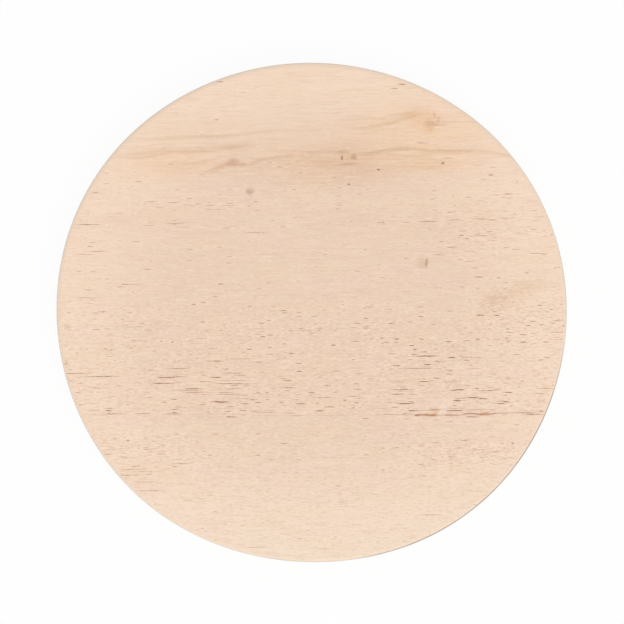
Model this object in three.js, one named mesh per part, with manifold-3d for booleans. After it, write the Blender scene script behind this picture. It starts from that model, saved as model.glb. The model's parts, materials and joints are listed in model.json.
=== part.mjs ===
// Round roti board: two planks glued edge to edge over dowels, on two screwed battens that keep it flat.
// Millimetres, +Z up. X runs along the grain and Y across it.
// The origin is on the table, under the middle of the board.
import * as THREE from "three";
import { mergeVertices } from "three/addons/utils/BufferGeometryUtils.js";
import Module from "manifold-3d";

const wasm = await Module();
wasm.setup();

// Board: an oval, because the round board has shrunk across the grain as it dried
const boardLength = 300; // along the grain
const boardWidth = 293.5; // across the grain
const boardThickness = 20;
const boardEdgeRadius = 1.5; // eased edges, top and bottom
const narrowPlankWidth = 87; // from the seam to the front edge

// Battens: they run across the grain, and their ends are cut back at the foot
const battenSpacing = 150; // between the two centre lines
const battenWidth = 32;
const battenHeight = 20;
const battenRimSetback = 15; // from the board's rim to the nearest corner of a batten
const battenEndFace = 8; // upright part of each end, under the board
const battenEndSlope = 10; // how far the foot of each end is cut back
const battenChamfer = 1.2; // along the long edges

// Fluted dowels in the seam
const dowelDiameter = 8;
const dowelLength = 40;
const dowelFluteCount = 12;
const dowelFluteDepth = 0.4;
const dowelChamfer = 1;
const dowelEndRoom = 0.8; // glue room at each end of its hole

// Countersunk wood screws, driven up through the battens
const screwDiameter = 4;
const screwHeadDiameter = 8;
const screwHeadRim = 0.4; // upright edge of the head
const screwHeadRecess = 1; // from the batten's foot up to the head
const screwBite = 11; // how far the point reaches into a plank
const screwPointLength = 5;
const screwsPerBatten = 4;
const screwEndInset = 12; // from the end of the batten's foot to the last screw
const crossRecessSpan = 4.4;
const crossRecessWidth = 1;
const crossRecessDepth = 1.6;

const fitGap = 0.3; // between a piece and the hole that holds it
const cutOverrun = 1; // how far a cutter runs past the face that it cuts
const rimSegments = 144;
const edgeSegments = 4; // in each eased edge of the board
const roundSegments = 20; // around a screw or a bored hole

// Places that follow from the sizes
const undersideZ = battenHeight;
const topZ = undersideZ + boardThickness;
const seamY = narrowPlankWidth - boardWidth / 2;
const battenX = battenSpacing / 2;
const battenOuterX = battenX + battenWidth / 2;
const battenHalf = halfWidthAt(battenOuterX) - battenRimSetback;
const battenFootHalf = battenHalf - battenEndSlope;
const dowelZ = undersideZ + boardThickness / 2;
const dowelHoleHalf = dowelLength / 2 + dowelEndRoom;
const screwRadius = screwDiameter / 2;
const screwHeadRadius = screwHeadDiameter / 2;
const screwConeHeight = screwHeadRadius - screwRadius;
const screwLength = battenHeight - screwHeadRecess + screwBite;

// Half of the board's width across the grain, at a distance x from its middle
function halfWidthAt(x) {
  return (boardWidth / 2) * Math.sqrt(1 - (2 * x / boardLength) ** 2);
}

// Half of the board's length along the grain, at a distance y from its middle
function halfLengthAt(y) {
  return (boardLength / 2) * Math.sqrt(1 - (2 * y / boardWidth) ** 2);
}

// A closed three.js geometry as a solid that can be cut
function solidOf(geometry) {
  const bare = geometry.clone();
  bare.deleteAttribute("normal");
  bare.deleteAttribute("uv");
  const merged = mergeVertices(bare);
  const corners = merged.index.array;
  const triVerts = [];
  for (let i = 0; i < corners.length; i += 3) {
    const [a, b, c] = corners.subarray(i, i + 3);
    if (a !== b && b !== c && c !== a) triVerts.push(a, b, c); // a profile on its axis leaves flat triangles
  }
  const mesh = new wasm.Mesh({
    numProp: 3,
    vertProperties: merged.attributes.position.array,
    triVerts: new Uint32Array(triVerts),
  });
  return new wasm.Manifold(mesh);
}

// A solid as a flat-shaded three.js geometry
function geometryOf(solid) {
  const mesh = solid.getMesh();
  const geometry = new THREE.BufferGeometry();
  geometry.setAttribute("position", new THREE.BufferAttribute(mesh.vertProperties, 3));
  geometry.setIndex(new THREE.BufferAttribute(mesh.triVerts, 1));
  const flat = geometry.toNonIndexed();
  flat.computeVertexNormals();
  return flat;
}

// A profile of [radius, height] points turned about the Z axis
function turned(profile, segments) {
  const points = profile.map(([radius, height]) => new THREE.Vector2(radius, height));
  return new THREE.LatheGeometry(points, segments).rotateX(Math.PI / 2);
}

// The whole oval board before it is cut into planks
function boardBlank() {
  const radius = boardLength / 2;
  const profile = [[0, undersideZ]];
  for (let i = 0; i <= edgeSegments; i++) {
    const turn = (i / edgeSegments) * (Math.PI / 2);
    const inset = boardEdgeRadius * (1 - Math.sin(turn));
    profile.push([radius - inset, undersideZ + boardEdgeRadius * (1 - Math.cos(turn))]);
  }
  for (let i = 0; i <= edgeSegments; i++) {
    const turn = (i / edgeSegments) * (Math.PI / 2);
    const inset = boardEdgeRadius * (1 - Math.cos(turn));
    profile.push([radius - inset, topZ - boardEdgeRadius * (1 - Math.sin(turn))]);
  }
  profile.push([0, topZ]);
  return solidOf(turned(profile, rimSegments).scale(1, boardWidth / boardLength, 1));
}

// A block over all of the board on one side of the seam: side is 1 behind it and -1 in front
function seamSide(side) {
  const block = new THREE.BoxGeometry(2 * boardLength, boardWidth, 2 * topZ);
  return solidOf(block.translate(0, seamY + (side * boardWidth) / 2, topZ));
}

// Dowels stand midway between the board's middle and each batten, and midway between each batten and the rim
function dowelPlaces() {
  const inner = battenX / 2;
  const outer = (battenX + halfLengthAt(seamY - dowelHoleHalf)) / 2;
  return [-outer, -inner, inner, outer];
}

// Screws are spread evenly from the middle of the narrow plank's share of the batten to the batten's far end
function screwPlaces() {
  const first = (seamY - battenFootHalf) / 2;
  const last = battenFootHalf - screwEndInset;
  const pitch = (last - first) / (screwsPerBatten - 1);
  return Array.from({ length: screwsPerBatten }, (_, i) => first + i * pitch);
}

// Lays an upright geometry, which starts at the origin, along Y with its middle in the seam
function laidInSeam(geometry, length) {
  return geometry.translate(0, 0, -length / 2).rotateX(Math.PI / 2).translate(0, seamY, dowelZ);
}

function dowelHole(x) {
  const radius = dowelDiameter / 2 + fitGap;
  const length = 2 * dowelHoleHalf;
  const profile = [[0, 0], [radius, 0], [radius, length], [0, length]];
  return solidOf(laidInSeam(turned(profile, roundSegments), length).translate(x, 0, 0));
}

// A turned pin with chamfered ends, kept where a fluted bar of the same length also is
function dowelSolid() {
  const land = dowelDiameter / 2;
  const pointsPerFlute = 3; // two on the land, one in the groove
  const points = [];
  for (let i = 0; i < dowelFluteCount * pointsPerFlute; i++) {
    const radius = i % pointsPerFlute === 2 ? land - dowelFluteDepth : land;
    const angle = (2 * Math.PI * i) / (dowelFluteCount * pointsPerFlute);
    points.push(new THREE.Vector2(radius * Math.cos(angle), radius * Math.sin(angle)));
  }
  const options = { depth: dowelLength, bevelEnabled: false };
  const fluted = new THREE.ExtrudeGeometry(new THREE.Shape(points), options);
  const profile = [
    [0, 0],
    [land - dowelChamfer, 0],
    [land, dowelChamfer],
    [land, dowelLength - dowelChamfer],
    [land - dowelChamfer, dowelLength],
    [0, dowelLength],
  ];
  const pin = laidInSeam(turned(profile, dowelFluteCount * pointsPerFlute), dowelLength);
  return solidOf(pin).intersect(solidOf(laidInSeam(fluted, dowelLength)));
}

// A pilot hole from the board's underside for one screw
function pilotHole(x, y) {
  const radius = screwRadius + fitGap;
  const profile = [
    [0, undersideZ - cutOverrun],
    [radius, undersideZ - cutOverrun],
    [radius, undersideZ + screwBite - screwPointLength],
    [fitGap, undersideZ + screwBite + fitGap],
    [0, undersideZ + screwBite + fitGap],
  ];
  return solidOf(turned(profile, roundSegments).translate(x, y, 0));
}

// A clearance hole right through a batten, countersunk from its foot
function screwHole(y) {
  const shank = screwRadius + fitGap;
  const head = screwHeadRadius + fitGap;
  const coneFoot = screwHeadRecess + screwHeadRim;
  const profile = [
    [0, -cutOverrun],
    [head, -cutOverrun],
    [head, coneFoot],
    [shank, coneFoot + screwConeHeight],
    [shank, battenHeight + cutOverrun],
    [0, battenHeight + cutOverrun],
  ];
  return solidOf(turned(profile, roundSegments).translate(0, y, 0));
}

// A screw with its head at the origin and its point up
function screwSolid() {
  const profile = [
    [0, 0],
    [screwHeadRadius, 0],
    [screwHeadRadius, screwHeadRim],
    [screwRadius, screwHeadRim + screwConeHeight],
    [screwRadius, screwLength - screwPointLength],
    [0, screwLength],
  ];
  const slot = [crossRecessSpan, crossRecessWidth, 2 * crossRecessDepth];
  const across = solidOf(new THREE.BoxGeometry(...slot));
  const along = solidOf(new THREE.BoxGeometry(...slot).rotateZ(Math.PI / 2));
  return solidOf(turned(profile, roundSegments)).subtract(across.add(along));
}

// A batten along Y, standing on the table, with its screw holes
function battenSolid() {
  const outline = new THREE.Shape([
    new THREE.Vector2(-battenHalf, battenHeight),
    new THREE.Vector2(-battenHalf, battenHeight - battenEndFace),
    new THREE.Vector2(-battenFootHalf, 0),
    new THREE.Vector2(battenFootHalf, 0),
    new THREE.Vector2(battenHalf, battenHeight - battenEndFace),
    new THREE.Vector2(battenHalf, battenHeight),
  ]);
  const geometry = new THREE.ExtrudeGeometry(outline, {
    depth: battenWidth - 2 * battenChamfer,
    bevelSize: battenChamfer,
    bevelOffset: -battenChamfer,
    bevelThickness: battenChamfer,
    bevelSegments: 1,
  });
  geometry.translate(0, 0, battenChamfer - battenWidth / 2);
  const alongY = new THREE.Vector3(0, 1, 0);
  const up = new THREE.Vector3(0, 0, 1);
  const acrossX = new THREE.Vector3(1, 0, 0);
  geometry.applyMatrix4(new THREE.Matrix4().makeBasis(alongY, up, acrossX));
  return screwPlaces().reduce((batten, y) => batten.subtract(screwHole(y)), solidOf(geometry));
}

const plankWood = new THREE.MeshStandardMaterial({ color: 0xefd5bc, roughness: 0.75, metalness: 0 });
const battenWood = new THREE.MeshStandardMaterial({ color: 0xe8cba6, roughness: 0.78, metalness: 0 });
const dowelWood = new THREE.MeshStandardMaterial({ color: 0xd9b487, roughness: 0.7, metalness: 0 });
const screwSteel = new THREE.MeshStandardMaterial({ color: 0xc8bc94, roughness: 0.35, metalness: 1 });

const rotiBoard = new THREE.Group();

function addPiece(name, solid, material, parent = rotiBoard) {
  const piece = new THREE.Mesh(geometryOf(solid), material);
  piece.name = name;
  parent.add(piece);
  return piece;
}

// The planks, bored for the dowels and the screws
const blank = boardBlank();
const pilotHoles = [-battenX, battenX].flatMap((x) => screwPlaces().map((y) => pilotHole(x, y)));
const bores = [...dowelPlaces().map(dowelHole), ...pilotHoles].reduce((all, bore) => all.add(bore));
addPiece("wide_plank", blank.intersect(seamSide(1)).subtract(bores), plankWood);
addPiece("narrow_plank", blank.intersect(seamSide(-1)).subtract(bores), plankWood);

dowelPlaces().forEach((x, i) => {
  addPiece(`seam_dowel_${i + 1}`, dowelSolid(), dowelWood).position.x = x;
});

// Each batten with its own screws
for (const [side, x] of [["left", -battenX], ["right", battenX]]) {
  const battenGroup = new THREE.Group();
  battenGroup.position.x = x;
  rotiBoard.add(battenGroup);
  addPiece(`${side}_batten`, battenSolid(), battenWood, battenGroup);
  screwPlaces().forEach((y, i) => {
    const screw = addPiece(`${side}_batten_screw_${i + 1}`, screwSolid(), screwSteel, battenGroup);
    screw.position.set(0, y, screwHeadRecess);
  });
}

export default rotiBoard;
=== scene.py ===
# Roti board: the finish of its planks, battens, dowels and screws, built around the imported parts
import json
import math
import bpy
import numpy as np
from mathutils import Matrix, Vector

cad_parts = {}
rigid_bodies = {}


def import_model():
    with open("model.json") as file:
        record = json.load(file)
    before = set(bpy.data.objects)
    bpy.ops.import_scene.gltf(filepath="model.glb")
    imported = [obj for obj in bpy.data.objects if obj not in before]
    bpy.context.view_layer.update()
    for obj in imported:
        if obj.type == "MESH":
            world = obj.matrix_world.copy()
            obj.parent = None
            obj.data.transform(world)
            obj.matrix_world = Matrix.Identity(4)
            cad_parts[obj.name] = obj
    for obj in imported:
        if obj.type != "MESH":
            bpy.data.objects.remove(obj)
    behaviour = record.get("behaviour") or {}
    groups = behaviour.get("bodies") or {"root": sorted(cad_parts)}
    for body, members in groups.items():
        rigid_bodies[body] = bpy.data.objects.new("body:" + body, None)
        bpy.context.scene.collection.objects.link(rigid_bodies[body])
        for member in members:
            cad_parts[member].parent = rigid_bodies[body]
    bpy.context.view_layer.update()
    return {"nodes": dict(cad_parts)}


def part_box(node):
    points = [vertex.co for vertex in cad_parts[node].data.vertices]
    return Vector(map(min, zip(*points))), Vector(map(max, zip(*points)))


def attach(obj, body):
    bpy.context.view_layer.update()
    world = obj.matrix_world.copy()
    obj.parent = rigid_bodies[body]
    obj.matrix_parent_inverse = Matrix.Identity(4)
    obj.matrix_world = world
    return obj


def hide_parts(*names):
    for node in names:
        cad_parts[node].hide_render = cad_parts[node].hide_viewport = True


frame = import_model()
print("loaded", len(frame["nodes"]), "parts")

mm = 0.001  # the scene is in metres; shaders read millimetres
wavePeriod = 0.314  # the length of one wave in a wave texture of scale 1
throughWood = 1e6  # half height, in mm, of a mark that goes right through
woodSpecular = 0.3
sharpAngle = 35  # degrees between faces that meet in a corner

# Places that every piece shares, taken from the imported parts
wideLow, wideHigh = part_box("wide_plank")
seamY = wideLow.y
boardTop = wideHigh.z
boardUnder = wideLow.z
dowelNames = sorted(name for name in frame["nodes"] if "dowel" in name)
screwNames = sorted(name for name in frame["nodes"] if "screw" in name)


# Shader sums

class Wire:
    # one output socket of a material; arithmetic on it adds Math nodes, and node() adds any other kind
    def __init__(self, tree, socket):
        self.tree = tree
        self.socket = socket

    def node(self, kind, settings, inputs, output=0):
        made = self.tree.nodes.new("ShaderNode" + kind)
        for name, value in settings.items():
            if name == "points":
                drawCurve(made.mapping, value)
            else:
                setattr(made, name, value)
        for name, value in inputs.items():
            if isinstance(value, Wire):
                self.tree.links.new(value.socket, made.inputs[name])
            else:
                made.inputs[name].default_value = value
        return Wire(self.tree, made.outputs[output])

    def sibling(self, output):
        return Wire(self.tree, self.socket.node.outputs[output])

    def maths(self, operation, first, second=0.0):
        return self.node("Math", {"operation": operation}, {0: first, 1: second})

    def __add__(self, other):
        return self.maths("ADD", self, other)

    def __sub__(self, other):
        return self.maths("SUBTRACT", self, other)

    def __rsub__(self, other):
        return self.maths("SUBTRACT", other, self)

    def __mul__(self, other):
        return self.maths("MULTIPLY", self, other)

    def __truediv__(self, other):
        return self.maths("DIVIDE", self, other)

    def __rtruediv__(self, other):
        return self.maths("DIVIDE", other, self)

    def __abs__(self):
        return self.maths("ABSOLUTE", self)

    __radd__ = __add__
    __rmul__ = __mul__

    def over(self, other):
        return self.maths("MAXIMUM", self, other)

    def under(self, other):
        return self.maths("MINIMUM", self, other)

    def fade(self, low, high, first=0.0, last=1.0):
        # a smooth step from first, at low, to last, at high
        return self.node("MapRange", {"interpolation_type": "SMOOTHSTEP"}, {
            "Value": self, "From Min": low, "From Max": high, "To Min": first, "To Max": last})

    def between(self, first, second):
        # from the first colour, where this is 0, to the second, where it is 1
        return self.node("Mix", {"data_type": "RGBA"}, {0: self, 6: first, 7: second}, 2)

    def axes(self):
        split = self.node("SeparateXYZ", {}, {0: self}, "X")
        return split, split.sibling("Y"), split.sibling("Z")


def drawCurve(mapping, points):
    # a smooth curve through points from 0 to 1, level past its ends
    curve = mapping.curves[0]
    for spot, point in zip(curve.points, (points[0], points[-1])):
        spot.location = point
    for point in points[1:-1]:
        curve.points.new(*point)
    mapping.extend = "HORIZONTAL"
    mapping.use_clip = False
    mapping.update()


def seen(red, green, blue):
    # a colour as it looks on a screen, 0 to 255, in the linear numbers that shaders take
    share = np.array([red, green, blue]) / 255
    linear = np.where(share <= 0.04045, share / 12.92, ((share + 0.055) / 1.055) ** 2.4)
    return (*linear.tolist(), 1.0)


def newFinish(name):
    # an empty material: its shader, and its object coordinates in millimetres
    finish = bpy.data.materials.new(name)
    finish.use_nodes = True
    tree = finish.node_tree
    shader = tree.nodes["Principled BSDF"]
    place = Wire(tree, tree.nodes.new("ShaderNodeTexCoord").outputs["Object"])
    place = place.node("VectorMath", {"operation": "SCALE"}, {0: place, "Scale": 1 / mm})
    return finish, shader, place


def feed(shader, socket, wire):
    wire.tree.links.new(wire.socket, shader.inputs[socket])


def emboss(shader, height, strength, distance):
    bump = height.node("Bump", {}, {"Strength": strength, "Distance": distance, "Height": height})
    feed(shader, "Normal", bump)


def stretched(place, sizes, shift=(0, 0, 0)):
    # coordinates in which a box of the given sizes is one unit each way
    scale = tuple(1 / size for size in sizes)
    return place.node("Mapping", {}, {"Vector": place, "Location": shift, "Scale": scale})


def turnedToY(place):
    # coordinates with their first axis from front to back, for pieces whose grain runs that way
    return place.node("Mapping", {}, {"Vector": place, "Rotation": (0, 0, math.pi / 2)})


def pushed(place, across):
    # a place moved across the planks' grain
    push = across.node("CombineXYZ", {}, {"Y": across})
    return place.node("VectorMath", {"operation": "ADD"}, {0: place, 1: push})


def blotches(place, sizes, shift=(0, 0, 0), detail=2.0):
    # soft random values about 0.5, in blobs of the given sizes
    blob = stretched(place, sizes, shift)
    return blob.node("TexNoise", {}, {"Vector": blob, "Scale": 1.0, "Detail": detail, "Roughness": 0.55})


def drift(place, reach, noise):
    # a soft random length, up to the reach each way
    return blotches(place, *noise) * (2 * reach) - reach


def along(value, points):
    # the height of a curve drawn through the given (value, height) points
    values, heights = np.array(points, float).T
    low = heights.min()
    span = max(np.ptp(heights), 1e-6)
    drawn = list(zip((values - values[0]) / np.ptp(values), (heights - low) / span))
    share = (value - values[0]) / np.ptp(values)
    return value.node("FloatCurve", {"points": drawn}, {"Value": share}) * span + low


def highest(masks):
    # the largest of several masks, each taken in as soon as it is made
    best = None
    for mask in masks:
        best = mask.over(best) if best else mask
    return best


def nearSpot(place, middle, sizes, turn=0.0):
    # 1 in the middle of a spot that goes right through the wood, falling evenly to 0 at the edge of its oval
    spot = place.node("Mapping", {"vector_type": "TEXTURE"}, {
        "Vector": place, "Location": (*middle, 0), "Rotation": (0, 0, math.radians(turn)),
        "Scale": (*sizes, throughWood)})
    return spot.node("TexGradient", {"gradient_type": "SPHERICAL"}, {"Vector": spot}, "Fac")


def nearLine(place, line, run):
    # how far a place is above or below a line's path, as a share of its reach, faded out smoothly;
    # the line's strength runs out to nothing a little past each end
    path, strength, above, below = line
    x, y, z = place.axes()
    off = y - along(x, path)
    share = (off / above).over(off / -below)
    ends = [(strength[0][0] - run, 0)] + strength + [(strength[-1][0] + run, 0)]
    return share.fade(0.0, 1.0, 1.0, 0.0) * along(x, ends)


# How full a pore's colour is, and where the paler wood about it starts and ends, as shares of its size
poreProfile = {"fullness": 1.8, "rimFrom": 0.7, "rimTo": 2.4}


def poreField(place, density, layer):
    # a random pattern of cells drawn out along the grain, with a lens-shaped pore in each cell whose own
    # random number is under the density: how far a place is from the pore's middle, 1 at its edge, and how
    # deep in colour the pore is, with most faint and a few dark
    cell = stretched(place, layer["cell"], layer["shift"])
    nearest = cell.node("TexVoronoi", {"feature": "F1"}, {"Vector": cell, "Scale": 1.0}, "Position")
    offset = cell.node("VectorMath", {"operation": "SUBTRACT"}, {0: cell, 1: nearest})
    reach = tuple(size / half for size, half in zip(layer["cell"], layer["half"]))
    offset = offset.node("VectorMath", {"operation": "MULTIPLY"}, {0: offset, 1: reach})
    distance = offset.node("VectorMath", {"operation": "LENGTH"}, {0: offset}, "Value")
    chance = nearest.node("SeparateColor", {}, {0: nearest.sibling("Color")}, "Red")
    size = chance.sibling("Green") * (1 - layer["least"]) + layer["least"]
    depth = chance.sibling("Blue") * chance.sibling("Blue") * (1 - layer["faintest"]) + layer["faintest"]
    return distance / size, depth * chance.maths("LESS_THAN", chance, density)


def poreCore(distance, depth):
    # full colour about a pore's middle, falling to nothing at its edge
    return ((1 - distance).over(0.0) * poreProfile["fullness"]).under(1.0) * depth


def poreRim(distance, depth):
    # the paler wood round a pore
    return distance.fade(poreProfile["rimFrom"], poreProfile["rimTo"], 1.0, 0.0) * depth


# The planks' wood: pale, straight grained and open pored, with its own marks at listed places.
# All places are in mm from the board's middle, and x runs along the grain

woodColours = {
    "ground": seen(233, 205, 182),
    "paleAtRim": seen(243, 216, 193),  # paler towards the rim
    "paleAtFront": seen(243, 222, 200),  # and palest along the front
    "yellowish": seen(238, 211, 178),
    "pinkish": seen(238, 206, 190),
    "endGrain": seen(219, 184, 150),
    "sandedEdge": seen(249, 232, 213),
    # painted shade: the dark line on the rounded top edge at the front right
    "edgeShade": seen(148, 128, 112),
    "lightFibre": seen(248, 222, 202),
    "poreEdge": seen(248, 220, 197),
    "darkFibre": seen(219, 187, 160),
    "pore": seen(136, 80, 40),
    "tanPore": seen(172, 112, 64),
    "brownPore": seen(150, 94, 42),
    "rust": seen(142, 86, 62),
    "growth": seen(200, 161, 124),
    "heart": seen(214, 170, 136),
    "tan": seen(206, 158, 112),
    "ochre": seen(212, 176, 122),
    "honey": seen(238, 196, 146),
    "orange": seen(226, 166, 112),
    "knot": seen(176, 124, 90),
    "olive": seen(170, 140, 108),
    "pin": seen(96, 66, 42),
    "filler": seen(206, 144, 92),
    "stain": seen(156, 98, 64),
    "paleFiller": seen(246, 222, 206),
    "glueLine": seen(160, 126, 102),
}

# How much of each colour comes through
woodShares = {
    "paleAtFront": 0.85, "patch": 0.3, "darkFibre": 0.46, "lightFibre": 0.4, "darkTooth": 0.7,
    "lightTooth": 0.68, "poreEdge": 0.7, "singleEdge": 0.6, "endGrain": 0.55, "sandedFace": 0.45,
    "sandedEdge": 0.7,
}

# Soft random patterns: the size of a blob, a shift, and how much fine detail it has
woodNoise = {
    "wander": ((60, 16, 16), (4, 1, 2)),
    "ripple": ((5, 1.4, 1.4), (9, 3, 5)),
    "streak": ((34, 1.5, 3), (2, 6, 1), 3.0),
    "patch": ((30, 9, 9), (1, 5, 7), 1.0),
    "speckle": ((2.2, 0.9, 0.9), (5, 8, 1)),
    "fibre": ((11, 0.7, 0.9), (5, 2, 8)),
    "tooth": ((2.4, 0.6, 0.9), (6, 9, 4), 1.0),
    "poreCloud": ((34, 7, 7), (8, 4, 3)),
    "poreRow": ((110, 2.4, 3), (6, 2, 9), 1.0),
    "poreTone": ((16, 1.3, 2), (7, 1, 3), 1.0),
    "grit": ((1.8, 0.45, 0.8), (2, 2, 3)),
    "ragged": ((4, 0.9, 2), (3, 7, 2), 3.0),
    # breaks up the painted edge shade
    "edgeShadeNoise": ((16, 16, 4), (3, 3, 8)),
}

# How far the grain wanders and ripples to each side, and leans with depth
grainDrift = {"wander": 1.2, "ripple": 0.4, "lean": 0.35}

# Random pores: the box that holds one on average, half its size, its least size, how dark it gets, how many
# more there are in a crowded patch, and how likely one is from the front to the back
poreLayers = [
    {"cell": (25, 2.0, 1.4), "half": (12, 0.26, 0.6), "least": 0.3, "shift": (3.3, 1.7, 0.4),
     "faintest": 0.35, "depth": 1.0, "crowding": 0.1,
     "chance": [(-147, 0.06), (-95, 0.08), (-84, 0.12), (-75, 0.12), (-68, 0.05), (-60.5, 0.05), (-59, 0.8),
                (-48, 0.8), (-36, 0.75), (-24, 0.5), (-14, 0.2), (4, 0.07), (40, 0.2), (66, 0.24),
                (76, 0.08), (90, 0.03), (147, 0.03)]},
    {"cell": (8, 1.4, 1.2), "half": (3.6, 0.27, 0.55), "least": 0.4, "shift": (7.1, 5.2, 2.6),
     "faintest": 0.2, "depth": 1.0, "crowding": 0.5,
     "chance": [(-147, 0.1), (-100, 0.12), (-86, 0.24), (-74, 0.26), (-68, 0.1), (-60.5, 0.08), (-59, 0.36),
                (-40, 0.36), (-20, 0.5), (-4, 0.5), (4, 0.32), (12, 0.26), (44, 0.27), (58, 0.3),
                (66, 0.36), (76, 0.12), (96, 0.07), (147, 0.05)]},
    {"cell": (3.4, 1.1, 1.0), "half": (1.7, 0.29, 0.5), "least": 0.5, "shift": (1.9, 8.4, 6.2),
     "faintest": 0.2, "depth": 0.9, "crowding": 0.7,
     "chance": [(-147, 0.14), (-100, 0.15), (-84, 0.3), (-74, 0.3), (-66, 0.14), (-60.5, 0.12), (-59, 0.2),
                (-34, 0.32), (-20, 0.56), (0, 0.56), (10, 0.32), (44, 0.27), (68, 0.3), (80, 0.14),
                (100, 0.09), (147, 0.08)]},
]

# The heart that each plank's growth rings run round, outside the board, and how far apart the rings are
ringHearts = {"wide": (0, 26, -44, 1), "narrow": (0, -118, 96, 1), "spacing": 3.4}

# How deep in colour the random pores, and those that stand out singly, are from the front to the back
poreDepth = [(-147, 0.7), (-95, 0.75), (-80, 0.9), (-60.5, 0.8), (-59, 1.25), (-20, 1.15), (4, 0.95),
             (14, 0.74), (60, 0.74), (90, 0.5), (147, 0.48)]
singleDepth = [(-147, 0.85), (-66, 0.88), (-60, 1.1), (-20, 1.08), (0, 1), (14, 0.86), (60, 0.86),
               (75, 0.95), (147, 0.95)]

# The wood's fine tooth from the front to the back, and patches with more of it and of pores:
# middle, half sizes, strength
toothStrength = [(-147, 0.8), (-110, 0.85), (-92, 0.88), (-72, 0.9), (-64, 0.7), (-59, 1.05), (-20, 1.0),
                 (0, 0.86), (10, 0.56), (60, 0.46), (80, 0.4), (147, 0.3)]
crowdedPatches = [
    ((122, 2), (44, 30), 0.62),
    ((85, -36), (60, 26), 0.2),
    ((-96, -82), (60, 18), 0.5),
    ((94, -82), (50, 14), 0.7),
    ((105, 50), (50, 28), 0.44),
]

# How far past its last point a line fades out
lineRun = {"growth": 4.0, "seam": 1.5}

# Lines left by the tree's growth: a path of (x, y), how strong it is along x, and its reach above and below
growthLines = [
    ([(-64, 81.5), (-56, 84.5), (-47, 87.1), (-38, 86.9), (-32, 88.8), (-24, 90.5), (-16, 92), (-7, 92.9),
      (2, 93.7), (12, 93.9), (22, 94), (31, 93.2), (40, 94.5), (48, 95.7), (55, 96.1), (66, 95.1),
      (78, 94.6), (90, 94.9), (100, 94.6), (107, 93.3), (114, 92.1)],
     [(-64, 0.2), (-47, 0.3), (-36, 0.5), (-30, 0.7), (-20, 0.66), (-8, 0.7), (4, 0.82), (16, 0.85),
      (25, 0.5), (31, 1), (50, 1.1), (60, 0.65), (68, 0.6), (78, 0.8), (92, 0.8), (98, 0.5), (108, 0.6),
      (114, 0.9)], 1.3, 2.6),
    ([(-108, 100), (-99, 101), (-89, 101.3), (-71, 102.2), (-53, 103.1), (-38, 104.5), (-26, 105.9),
      (-18, 106.3), (5, 106.8), (20, 107.6), (31, 108.2), (43, 109.8), (50, 111.8), (57, 114), (64, 116)],
     [(-108, 0.2), (-90, 0.32), (-75, 0.4), (-50, 0.62), (-28, 0.46), (-16, 0.22), (10, 0.2), (26, 0.46),
      (36, 0.62), (46, 0.5), (56, 0.3), (66, 0.2)], 2.2, 1.6),
    ([(-112, 91.9), (-100, 92.9), (-89, 93.7), (-77, 93.9), (-66, 94.2), (-48, 96), (-36, 97.2)],
     [(-112, 0.25), (-100, 0.36), (-88, 0.5), (-66, 0.66), (-54, 0.66), (-46, 0.6), (-36, 0.35)], 4.6, 2.2),
    ([(-112, 90.9), (-101, 90.7), (-95, 91.2), (-86, 92.7), (-74, 93.3), (-66, 93.9)],
     [(-114, 0.3), (-102, 0.55), (-88, 0.45), (-72, 0.4), (-62, 0.2)], 1.1, 1.4),
    ([(-108, 96.1), (-100, 96.9), (-89, 98.2), (-77, 98.5), (-62, 98.7), (-46, 99.2)],
     [(-112, 0.2), (-95, 0.4), (-62, 0.4), (-44, 0.1)], 0.8, 0.9),
    ([(-89, 87), (-74, 87), (-66, 87.9), (-60, 89.1), (-52, 91), (-43, 91.8)],
     [(-92, 0.1), (-82, 0.35), (-66, 0.35), (-55, 0.25), (-48, 0.35), (-42, 0.2)], 1.4, 1.4),
    ([(18, 112.4), (31, 113.2), (43, 114.1), (47, 115.3), (54, 116.2), (62, 117.4)],
     [(6, 0), (20, 0.35), (43, 0.5), (54, 0.4), (64, 0.1)], 1.1, 1.1),
    ([(22, 104.4), (31, 104.9), (40, 105.6)],
     [(18, 0), (27, 0.35), (42, 0.1)], 0.8, 0.8),
    ([(74, 112), (82, 111.6), (93, 111.6)],
     [(74, 0.4), (84, 0.6), (95, 0.6)], 0.7, 0.8),
    ([(-26, 94), (-18, 94.4), (-12, 95.6), (0, 96.6)],
     [(-30, 0), (-22, 0.3), (-12, 0.2), (4, 0)], 0.7, 0.8),
    ([(-18, 86.3), (-12, 87), (-7, 89.2), (-1, 91.2), (6, 92.4)],
     [(-22, 0.1), (-12, 0.4), (-4, 0.3), (8, 0.1)], 0.8, 1.0),
    ([(42, 93), (49, 91.8), (57, 91.6), (66, 92.4), (73, 94)],
     [(38, 0), (48, 0.4), (66, 0.5), (75, 0.3)], 0.8, 1.2),
    ([(50, 85.2), (60, 85.6), (70, 85.4), (80, 86)],
     [(46, 0), (56, 0.4), (66, 0.4), (82, 0)], 0.7, 0.8),
]

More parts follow.
